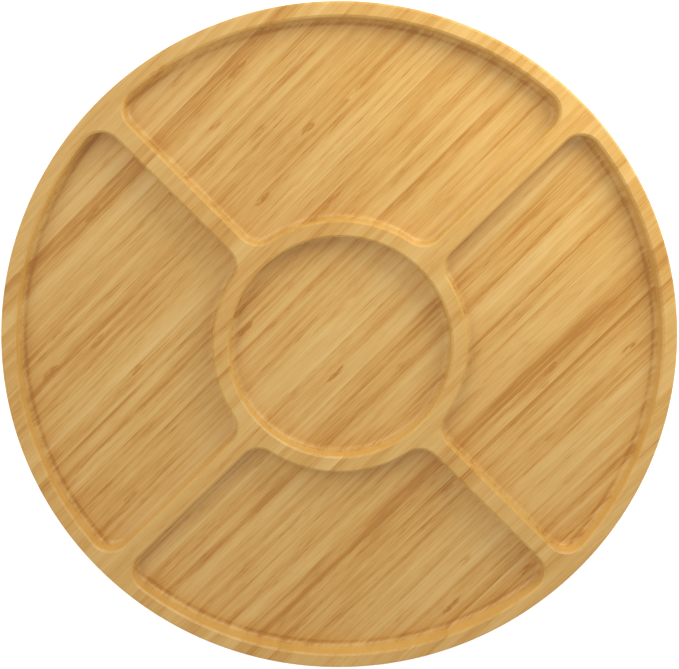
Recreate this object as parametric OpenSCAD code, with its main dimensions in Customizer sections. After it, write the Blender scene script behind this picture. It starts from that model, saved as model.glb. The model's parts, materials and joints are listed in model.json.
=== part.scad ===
// Round chip and dip server: a bamboo tray with four shallow pockets round a dip well.
// The blank is glued up from upright bamboo slats laid side by side. Its pockets, each with a
// coved floor edge, are then milled through the joints, so every slat has its own cut shape.
// The slats and one pair of dividers run along X. Z is up and the tray rests on z = 0.

/* [Tray] */
// Outside diameter of the tray
tray_d = 330; // [326:1:336]
// Thickness of the tray
tray_h = 19; // [16:0.5:24]
// Radius that eases the outer edges
edge_r = 1.5; // [0.5:0.25:2.5]

/* [Slats] */
// Width of one bamboo slat
slat_w = 8; // [7.9:0.05:8.1]

/* [Pockets] */
// Depth of the pockets and of the dip well
pocket_depth = 10.5; // [8:0.5:12]
// Width of the rim between the pockets and the outside
rim_w = 7.2; // [6:0.2:9]
// Width of the four straight dividers
divider_w = 9; // [7:0.2:11]
// Radius of the pocket corners, seen from above
corner_r = 10.5; // [8:0.5:12]
// Radius of the cove where a wall meets the floor
cove_r = 3; // [3:0.25:6]
// Chamfer along the top edge of each pocket
lip_chamfer = 1; // [0.3:0.1:1]

/* [Dip well] */
// Radius of the round dip well
well_r = 54.5; // [50:0.5:57]
// Width of the ring wall round the dip well
ring_w = 8; // [7:0.25:9]

/* [Hidden] */
SLAT_COUNT = 42;
$fn = 240;

floor_z = tray_h - pocket_depth;
// How far a cutter stands clear of what it cuts, above and below
clearance = 2;
cut_height = pocket_depth + clearance;
// Blended walls run this much past each other, so that they cross instead of only touching
overrun = 0.02;
// How far the circles that ease the blank's edges reach past its side before they are trimmed
edge_proud = 0.15;
rim_r = tray_d / 2 - rim_w;
ring_r = well_r + ring_w;
half_divider = divider_w / 2;
// Centres of the pocket corners: how far from a divider's middle and from the tray's centre
corner_offset = half_divider + corner_r;
outer_corner_reach = rim_r - corner_r;
inner_corner_reach = ring_r + corner_r;
outer_corner_x = sqrt(pow(outer_corner_reach, 2) - pow(corner_offset, 2));
inner_corner_x = sqrt(pow(inner_corner_reach, 2) - pow(corner_offset, 2));
// Bamboo runs from straw to caramel. The step keeps slats of one tone apart.
TONES = ["#d8b06c", "#cfa25c", "#dcb878", "#c9974f", "#d5a963", "#b9823f", "#dab572"];
TONE_STEP = 5;

function slat_name(i) = str("slat_", i < 10 ? "0" : "", i);

// Y of the joint above slat i. The two end slats keep what the round blank leaves of them.
function joint_y(i) =
    i == 0 ? -tray_d / 2 - clearance :
    i == SLAT_COUNT ? tray_d / 2 + clearance :
    (i - SLAT_COUNT / 2) * slat_w;

// Half of the round blank's section. The circles that ease its edges reach a little past the
// side and are trimmed flush with it, so that they meet it at a slight corner.
module blank_profile() {
    side = tray_d / 2;
    ease_x = side - edge_r + edge_proud;
    intersection() {
        square([side, tray_h]);
        union() {
            square([ease_x, tray_h]);
            translate([0, edge_r]) square([side + edge_proud, tray_h - 2 * edge_r]);
            for (z = [edge_r, tray_h - edge_r]) translate([ease_x, z]) circle(edge_r);
        }
    }
}

// Section of a hollow: floor at y = 0, coved wall at x = reach, chamfered at the top
module hollow_profile(reach) {
    difference() {
        square([reach, cut_height]);
        translate([reach - cove_r, 0]) difference() {
            square(cove_r);
            translate([0, cove_r]) circle(cove_r);
        }
    }
    translate([reach, pocket_depth - lip_chamfer]) polygon([
        [0, 0],
        [lip_chamfer, lip_chamfer],
        [lip_chamfer, cut_height],
        [0, cut_height]
    ]);
}

module well() {
    rotate_extrude() hollow_profile(well_r);
}

// The four pockets before they are divided: one trough between the ring wall and the rim
module trough() {
    rotate_extrude() translate([inner_corner_reach, 0]) {
        hollow_profile(rim_r - inner_corner_reach);
        mirror([1, 0]) hollow_profile(corner_r);
    }
}

// Section of a divider, which spreads into a cove at each foot
module divider_profile() {
    foot = half_divider + cove_r;
    difference() {
        translate([-foot, -clearance]) square([2 * foot, cut_height + 2 * clearance]);
        for (side = [0, 1]) mirror([side, 0]) translate([foot, -overrun]) {
            translate([0, cove_r]) circle(cove_r);
            translate([-cove_r, cove_r]) square([foot, cut_height + clearance]);
            translate([-cove_r, pocket_depth - lip_chamfer]) polygon([
                [0, 0],
                [-lip_chamfer, lip_chamfer],
                [-lip_chamfer, cut_height],
                [0, cut_height]
            ]);
        }
    }
}

// A divider right across the trough, along X
module divider() {
    rotate([90, 0, 90])
        translate([0, 0, -tray_d / 2])
            linear_extrude(tray_d) divider_profile();
}

// What stays in one corner of a pocket: the outline given, less a round coved cut at its centre
module corner_fill(centre, outline) {
    difference() {
        translate([0, 0, -clearance]) linear_extrude(cut_height + 2 * clearance) polygon(outline);
        translate([centre[0], centre[1], -overrun]) rotate_extrude() hollow_profile(corner_r + overrun);
    }
}

// The two filled corners on one side of a divider that runs along X
module corner_pair() {
    outer = [outer_corner_x, corner_offset];
    outer_stretch = (tray_d / 2) / outer_corner_reach;
    corner_fill(outer, [outer, [outer_corner_x, 0], [tray_d / 2, 0], outer_stretch * outer]);
    inner = [inner_corner_x, corner_offset];
    inner_stretch = well_r / inner_corner_reach;
    corner_fill(inner, [inner, inner_stretch * inner, [well_r, 0], [inner_corner_x, 0]]);
}

// The pockets: the trough, less its dividers and the filling of the corners in these quarters
module pockets(quarters) {
    difference() {
        trough();
        divider();
        rotate([0, 0, 90]) divider();
        for (quarter = quarters) rotate([0, 0, 90 * quarter]) {
            corner_pair();
            mirror([1, -1, 0]) corner_pair();
        }
    }
}

// One slat: its stretch of the blank, less the pockets and the well that cross it. No slat
// crosses the middle joint, so each needs the corners of only the two quarters on its own side.
module slat(i) {
    low = joint_y(i - 1);
    color(TONES[(i * TONE_STEP) % len(TONES)])
    difference() {
        intersection() {
            rotate_extrude() blank_profile();
            translate([-tray_d, low, -clearance])
                cube([2 * tray_d, joint_y(i) - low, tray_h + 2 * clearance]);
        }
        translate([0, 0, floor_z]) pockets(low < 0 ? [2, 3] : [0, 1]);
        translate([0, 0, floor_z]) well();
    }
}

for (i = [1:SLAT_COUNT]) slat(i);
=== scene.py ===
import json
import random
from math import radians

import bpy
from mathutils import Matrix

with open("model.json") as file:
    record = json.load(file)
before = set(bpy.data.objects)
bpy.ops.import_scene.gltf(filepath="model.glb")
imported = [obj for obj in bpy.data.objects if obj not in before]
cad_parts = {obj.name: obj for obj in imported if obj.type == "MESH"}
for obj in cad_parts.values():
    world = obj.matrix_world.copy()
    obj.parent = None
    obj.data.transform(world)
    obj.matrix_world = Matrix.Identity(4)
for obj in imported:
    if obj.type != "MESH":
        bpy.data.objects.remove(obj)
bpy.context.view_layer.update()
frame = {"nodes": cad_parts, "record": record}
scene = bpy.context.scene

# Camera
# It looks almost straight down on the tray from over the +X +Y side, turned so that the slats
# run from lower left to upper right.
bpy.ops.object.select_all(action="DESELECT")
bpy.ops.object.camera_add(
    location=(0.0733, 0.0856, 0.648),
    rotation=(radians(-9.519), radians(-0.693), radians(-44.638)),
)
camera = bpy.context.object
camera.name = "camera"
camera.data.lens = 69.46
camera.data.sensor_width = 36
camera.data.clip_start = 0.01
scene.camera = camera

# Studio
# A white sweep in soft light from all round. Two small softboxes stand close to the +X side, so
# the walls that face them are bright and the light falls away across the tray. A large one hangs
# high on the +Y side. Each is aimed at the middle of the tray.
scene.view_settings.view_transform = "Standard"
scene.view_settings.look = "None"

studio = bpy.data.worlds.new("studio")
studio.use_nodes = True
studio.node_tree.nodes["Background"].inputs["Color"].default_value = (1.0, 0.985, 1.0, 1)
studio.node_tree.nodes["Background"].inputs["Strength"].default_value = 0.74
scene.world = studio


def softbox(name, place, width, watts, colour):
    bpy.ops.object.light_add(type="AREA", location=place)
    lamp = bpy.context.object
    lamp.name = name
    lamp.data.shape = "SQUARE"
    lamp.data.size = width
    lamp.data.energy = watts
    lamp.data.color = colour
    lamp.rotation_euler = lamp.location.to_track_quat("Z", "Y").to_euler()
    lamp.visible_camera = False


WARM_WHITE = (1.0, 0.96, 0.74)
SOFT_WHITE = (1.0, 0.97, 0.84)
softbox("key_softbox", (0.32, 0, 0.16), 0.16, 0.43, WARM_WHITE)
softbox("near_softbox", (0.28, 0.16, 0.16), 0.16, 0.16, WARM_WHITE)
softbox("high_softbox", (0, 0.70, 0.90), 0.60, 2.60, SOFT_WHITE)

bpy.ops.mesh.primitive_plane_add(size=8, location=(0, 0, 0))
sweep = bpy.context.object
sweep.name = "sweep"
sweep_white = bpy.data.materials.new("sweep_white")
sweep_white.use_nodes = True
shader = sweep_white.node_tree.nodes["Principled BSDF"]
shader.inputs["Base Color"].default_value = (0.93, 0.93, 0.92, 1)
shader.inputs["Roughness"].default_value = 0.9
shader.inputs["Emission Color"].default_value = (1, 1, 1, 1)
shader.inputs["Emission Strength"].default_value = 0.5
sweep.data.materials.append(sweep_white)

# The slats
# Forty-two strips of split bamboo, each 8 mm wide and as deep as the tray, planed square and
# glued edge to edge, then milled as one blank and rubbed with a satin food-safe oil. The fibres
# run along X. They crowd to the strip's skin side, which is darker, and knot at the knuckles.
SLAT_WIDTH = 8.0
SLAT_COUNT = 42
# Each finish: how dark its slats are, from 0, straw, to 1, brown
DARKNESS = {
    "bamboo_straw": 0.38,
    "bamboo_honey": 0.50,
    "bamboo_amber": 0.60,
    "bamboo_caramel": 0.72,
}
# Slats that were glued in with their skin side towards -Y. The others have it towards +Y.
SKIN_BELOW = {3, 4, 5, 12, 14, 16, 18, 19, 22, 24, 33, 34, 36}
# How much a slat darkens to its skin side, and the slats where it darkens more than in most
PLAIN_SKIN = 0.10
RICH_SKIN = 0.20
DARK_SKIN = 0.26
RICH = {11, 16, 18, 20, 24, 25, 27, 29, 31, 37, 38}
DARK = {10, 12, 26}
# The knuckles that show most: the slat, x in mm, how far across it towards +Y from 0 to 1, and
# how dark. A pale one is below 0. Each is a lens of this half length and half width, in mm.
KNUCKLE_REACH = 6.5
KNUCKLE_SPREAD = 1.9
KNUCKLES = [
    (4, -55, 0.85, 0.50), (6, -33, 0.45, 0.30), (3, -14, 0.3, 0.30), (2, 16, 0.6, 0.20),
    (9, 101, 0.2, 0.35), (10, -13, 0.7, 0.30), (11, 67, 0.7, 0.22), (11, 57, 0.2, 0.20),
    (16, -42, 0.9, 0.25), (20, -12, 0.9, 0.60), (20, -70, 0.2, 0.25), (23, 18, 0.5, -0.20),
    (26, -28, 0.85, 0.75), (24, -130, 0.4, 0.30), (28, 47, 0.7, 0.25), (29, -81, 0.8, 0.35),
    (31, 24, 0.75, 0.40), (32, 64, 0.8, 0.50), (32, 92, 0.35, -0.35), (32, -84, 0.7, 0.22),
    (33, -112, 0.4, 0.35), (34, 45, 0.75, 0.20), (34, -95, 0.7, 0.25), (36, 32, 0.8, 0.30),
    (38, 58, 0.2, 0.45), (38, -40, 0.3, 0.25), (41, 33, 0.4, 0.40), (37, -120, 0.5, 0.2),
]
# Height of the hollows' floor and size of their cove, in mm
FLOOR = 8.5
COVE = 3
# Radii of the foot of the rim's wall and of the rim's flat top, in mm
RIM_FOOT = 155.4
RIM_TOP = 160
# Painted light: the colour and strength of a painted sheen that pales the walls in place of the
# satin finish's highlight, and the depth of the painted shade in the crease at the rim's foot
WALL_SHEEN_COLOUR = (0.80, 0.51, 0.15, 1)
WALL_SHEEN = 0.65
RIM_FOOT_SHADE = 0.32
# How much of the figure is left on the sanded top
TOP_FIGURE = 0.72
rng = random.Random(42)


def bamboo(name, number, darkness):
    """Bamboo for one slat: fibres along X, darker to the skin side, knotted at its knuckles."""
    low = (number - 1 - SLAT_COUNT / 2) * SLAT_WIDTH
    shift = [rng.uniform(-400, 400) for _ in range(3)]
    darkness += rng.uniform(-0.03, 0.03)
    skin_gain = DARK_SKIN if number in DARK else RICH_SKIN if number in RICH else PLAIN_SKIN
    skin_gain *= rng.uniform(0.85, 1.15)
    knuckles = [knuckle[1:] for knuckle in KNUCKLES if knuckle[0] == number]
    faint = (rng.uniform(-150, 150), rng.uniform(0.2, 0.8), rng.uniform(0.1, 0.2))
    knuckles = knuckles or [faint]

    material = bpy.data.materials.new(name)
    material.use_nodes = True
    tree = material.node_tree
    shader = tree.nodes["Principled BSDF"]
    link = tree.links.new

    def put(socket, value):
        if isinstance(value, (int, float)):
            socket.default_value = value
        else:
            link(value, socket)

    def reckon(operation, *values):
        """A Math node for one or two values, and a chain of them for more."""
        result = values[0]
        for value in values[1:] or [None]:
            step = tree.nodes.new("ShaderNodeMath")
            step.operation = operation
            put(step.inputs[0], result)
            if value is not None:
                put(step.inputs[1], value)
            result = step.outputs[0]
        return result

    def fitted(value, low_in, high_in, low_out, high_out, kind="LINEAR"):
        """The value taken from one range into another, and held at that range's ends."""
        fit = tree.nodes.new("ShaderNodeMapRange")
        fit.interpolation_type = kind
        for socket, amount in zip(fit.inputs, (value, low_in, high_in, low_out, high_out)):
            put(socket, amount)
        return fit.outputs[0]

    millimetres = tree.nodes.new("ShaderNodeMapping")
    millimetres.inputs["Scale"].default_value = (1000, 1000, 1000)
    link(tree.nodes.new("ShaderNodeTexCoord").outputs["Object"], millimetres.inputs["Vector"])
    axes = tree.nodes.new("ShaderNodeSeparateXYZ")
    link(millimetres.outputs[0], axes.inputs[0])
    along, across, height = axes.outputs["X"], axes.outputs["Y"], axes.outputs["Z"]

    def streaks(length, width, depth, low_out, high_out, detail=2, ends=(0.3, 0.7)):
        """Noise drawn out along the fibres, of this length, width and depth in mm."""
        stretch = tree.nodes.new("ShaderNodeMapping")
        stretch.inputs["Location"].default_value = shift
        stretch.inputs["Scale"].default_value = (1 / length, 1 / width, 1 / depth)
        link(millimetres.outputs[0], stretch.inputs["Vector"])
        noise = tree.nodes.new("ShaderNodeTexNoise")
        noise.inputs["Scale"].default_value = 1
        noise.inputs["Detail"].default_value = detail
        link(stretch.outputs[0], noise.inputs["Vector"])
        return fitted(noise.outputs[0], *ends, low_out, high_out)

    # From 0 on the pith side to 1 on the skin side, with a slow waver along the slat
    pith, skin_edge = low, low + SLAT_WIDTH
    if number in SKIN_BELOW:
        pith, skin_edge = skin_edge, pith
    wavering = reckon("ADD", across, streaks(90, 9, 14, -0.9, 0.9))
    skin = fitted(wavering, pith, skin_edge, 0, 1)
    skin_shade = reckon("MULTIPLY", reckon("POWER", skin, 1.8), streaks(120, 20, 20, 0.6, 1.3))
    skin_line = reckon("MULTIPLY", reckon("POWER", skin, 9), streaks(60, 20, 20, 0, 0.6))

    # The figure, from broad bands down to single fibres, with dark dashes where vessels are cut
    fibre_dashes = streaks(9, 0.34, 0.6, 0, 1, 1, (0.57, 0.72))
    pale_dashes = streaks(14, 0.4, 0.5, 0, -0.16, 1, (0.42, 0.30))
    figure = reckon(
        "ADD",
        -0.36 * skin_gain,
        reckon("MULTIPLY", skin_shade, skin_gain),
        reckon("MULTIPLY", skin_line, skin_gain),
        streaks(190, 4.5, 8, -0.22, 0.22),
        streaks(150, 2.0, 6, -0.15, 0.15),
        streaks(60, 1.0, 3, -0.07, 0.07),
        streaks(30, 7, 10, -0.12, 0.12),
        streaks(26, 0.42, 0.7, -0.17, 0.17, 3),
        reckon("MULTIPLY", fibre_dashes, fitted(skin, 0, 1, 0.14, 0.44)),
        pale_dashes,
    )

    # A knuckle: a short lens of dark flecks that the fibres bend round
    flecks = streaks(4.5, 0.40, 1, 0.15, 1.6, 2, (0.42, 0.62))
    wander = streaks(6, 2.5, 5, -2, 2)
    for x, share, strength in knuckles:
        from_x = reckon("DIVIDE", reckon("ADD", along, wander, -x), KNUCKLE_REACH)
        y = low + share * SLAT_WIDTH
        from_y = reckon("DIVIDE", reckon("ADD", across, -y), KNUCKLE_SPREAD)
        away = reckon("ADD", reckon("MULTIPLY", from_x, from_x), reckon("MULTIPLY", from_y, from_y))
        lens = fitted(away, 1, 0, 0, 1.4 * strength, "SMOOTHSTEP")
        figure = reckon("ADD", figure, reckon("MULTIPLY", lens, flecks))

    # Sanding the top smooth softens the figure there
    softening = fitted(height, FLOOR + COVE, FLOOR + 3 * COVE, 1, TOP_FIGURE)
    grain = reckon("ADD", reckon("MULTIPLY", figure, softening), darkness)

    # A painted sheen makes the walls paler than the faces, standing in for the satin finish's
    # highlight, and a painted shade darkens the crease at the foot of the rim's wall
    facing = tree.nodes.new("ShaderNodeSeparateXYZ")
    link(tree.nodes.new("ShaderNodeNewGeometry").outputs["Normal"], facing.inputs[0])
    steepness = fitted(facing.outputs["Z"], 0.85, 0.35, 0, 1, "SMOOTHSTEP")
    above_foot = fitted(height, FLOOR + COVE / 3, FLOOR + COVE, 0, 1)
    squares = reckon("ADD", reckon("MULTIPLY", along, along), reckon("MULTIPLY", across, across))
    radius = reckon("SQRT", squares)
    in_hollow = reckon("LESS_THAN", radius, RIM_TOP)
    painted_sheen = reckon("MULTIPLY", steepness, above_foot, in_hollow, WALL_SHEEN)
    # Painted shade: a dark line in the crease where the rim's wall meets the floor
    from_foot = reckon("ABSOLUTE", reckon("ADD", radius, -RIM_FOOT))
    foot_shade = fitted(from_foot, 1.5, 0.2, 0, RIM_FOOT_SHADE, "SMOOTHSTEP")
    in_cove = reckon("LESS_THAN", reckon("ABSOLUTE", reckon("ADD", height, -FLOOR)), COVE)
    grain = reckon("ADD", grain, reckon("MULTIPLY", foot_shade, in_cove))

    # Straw to brown, as the grain darkens
    ramp = tree.nodes.new("ShaderNodeValToRGB")
    colours = [
        (0.0, (0.670, 0.450, 0.165, 1)),
        (0.25, (0.635, 0.400, 0.127, 1)),
        (0.5, (0.595, 0.348, 0.094, 1)),
        (0.75, (0.530, 0.275, 0.056, 1)),
        (1.0, (0.430, 0.185, 0.026, 1)),
    ]
    elements = ramp.color_ramp.elements
    while len(elements) < len(colours):
        elements.new(0.5)
    for element, (spot, colour) in zip(elements, colours):
        element.position = spot
        element.color = colour
    link(grain, ramp.inputs["Fac"])
    # The painted sheen: the walls' colour drawn towards a paler one
    wall = tree.nodes.new("ShaderNodeMix")
    wall.data_type = "RGBA"
    link(painted_sheen, wall.inputs["Factor"])
    link(ramp.outputs["Color"], wall.inputs["A"])
    wall.inputs["B"].default_value = WALL_SHEEN_COLOUR
    link(wall.outputs["Result"], shader.inputs["Base Color"])

    # Satin oil, a little glossier on the dense dark fibres, which stand above the pores
    link(streaks(26, 0.42, 0.7, 0.44, 0.32, 3), shader.inputs["Roughness"])
    shader.inputs["Specular IOR Level"].default_value = 0.5
    pores = tree.nodes.new("ShaderNodeBump")
    pores.inputs["Strength"].default_value = 0.3
    pores.inputs["Distance"].default_value = 0.00006
    link(reckon("SUBTRACT", 1, fibre_dashes), pores.inputs["Height"])
    link(pores.outputs["Normal"], shader.inputs["Normal"])
    return material


slot_of = {part["node"]: part["material_slot"] for part in frame["record"]["subparts"]}
for number in range(1, SLAT_COUNT + 1):
    name = f"slat_{number:02d}"
    slot = slot_of[name]
    slat = frame["nodes"][name]
    slat.data.materials.clear()
    slat.data.materials.append(bamboo(f"{slot}_{number:02d}", number, DARKNESS[slot]))
